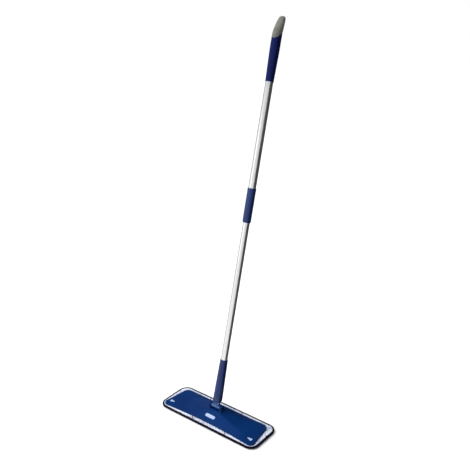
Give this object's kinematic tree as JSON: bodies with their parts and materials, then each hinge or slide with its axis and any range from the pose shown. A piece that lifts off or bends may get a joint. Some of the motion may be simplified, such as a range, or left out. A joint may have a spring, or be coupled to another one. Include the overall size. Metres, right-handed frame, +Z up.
{
  "type": "flat mop",
  "caption": "Flat mop with a wide flat head, a hook-and-loop microfibre pad, a two-axis joint and a telescopic aluminium pole with a grip and slanted end cap.",
  "frame": {"origin": "centre of the pad's underside, on the floor", "axes": "+Z up from the floor, +X along the head's long side, +Y towards the back of the head, the way the pole leans"},
  "size_m": [0.406, 0.4167, 1.279],
  "materials": {
    "cap_grey": "soft matt overmould with a fine grain",
    "grip_navy": "fine moulded grain",
    "tube_aluminium": "satin, drawn along its length",
    "socket_blue": "satin moulded",
    "cover_blue": "satin moulded with a fine grain",
    "pin_steel": "zinc plated",
    "nylon": "natural nylon",
    "wiper_rubber": "matt",
    "inlay_white": "smooth, pale blue-white",
    "loop_fabric": "brushed loop knit, white",
    "binding_tape": "woven tape, navy-black",
    "foam": "needled fleece",
    "microfibre": "cut microfibre pile, blue",
    "hook_tape": "moulded hooks on woven tape, black"
  },
  "bodies": {
    "upper_pole": {"end_cap": "cap_grey", "handle_grip": "grip_navy", "upper_tube": "tube_aluminium", "collet": "nylon"},
    "lock_collar": {"lock_collar": "socket_blue"},
    "wiper_ring": {"wiper_ring": "wiper_rubber"},
    "lower_pole": {"lower_tube": "tube_aluminium", "inner_bush": "nylon", "pole_socket": "socket_blue", "socket_screw": "pin_steel", "swing_rivet": "pin_steel"},
    "knuckle": {"knuckle": "socket_blue", "swing_washer_front": "nylon", "swing_washer_back": "nylon"},
    "head": {"base_cover": "cover_blue", "base_plate": "cover_blue", "tilt_pin": "pin_steel", "pin_cap_left": "cover_blue", "pin_cap_right": "cover_blue", "plate_screw_1": "pin_steel", "plate_screw_2": "pin_steel", "plate_screw_3": "pin_steel", "plate_screw_4": "pin_steel", "plate_screw_5": "pin_steel", "plate_screw_6": "pin_steel", "hook_strip_front": "hook_tape", "hook_strip_back": "hook_tape", "label_plate": "inlay_white", "corner_inlay_left": "inlay_white", "corner_inlay_right": "inlay_white"},
    "pad": {"pad_binding": "binding_tape", "pad_backing": "loop_fabric", "pad_core": "foam", "pad_pile": "microfibre"}
  },
  "joints": [
    {"name": "collar_twist", "type": "hinge", "parent": "upper_pole", "child": "lock_collar", "pos_m": [0, 0.17499, 0.70777], "axis": [0, 0.2555, 0.9668], "range_deg": [0, 100]},
    {"name": "pole_turn", "type": "hinge", "parent": "upper_pole", "child": "wiper_ring", "pos_m": [0, 0.16221, 0.65943], "axis": [0, 0.2555, 0.9668], "continuous": true},
    {"name": "telescope", "type": "slide", "parent": "wiper_ring", "child": "lower_pole", "axis": [0, 0.2555, 0.9668], "range_m": [-0.15, 0.29]},
    {"name": "swing", "type": "hinge", "parent": "lower_pole", "child": "knuckle", "pos_m": [0, 0.00754, 0.07402], "axis": [0, 0.9668, -0.2555], "range_deg": [-80, 80]},
    {"name": "tilt", "type": "hinge", "parent": "knuckle", "child": "head", "pos_m": [0, 0, 0.0455], "axis": [1, 0, 0], "range_deg": [-89.8, 60.2]},
    {"name": "pad_release", "type": "slide", "parent": "head", "child": "pad", "axis": [0, 0, -1], "range_m": [0, 0.06]}
  ]
}
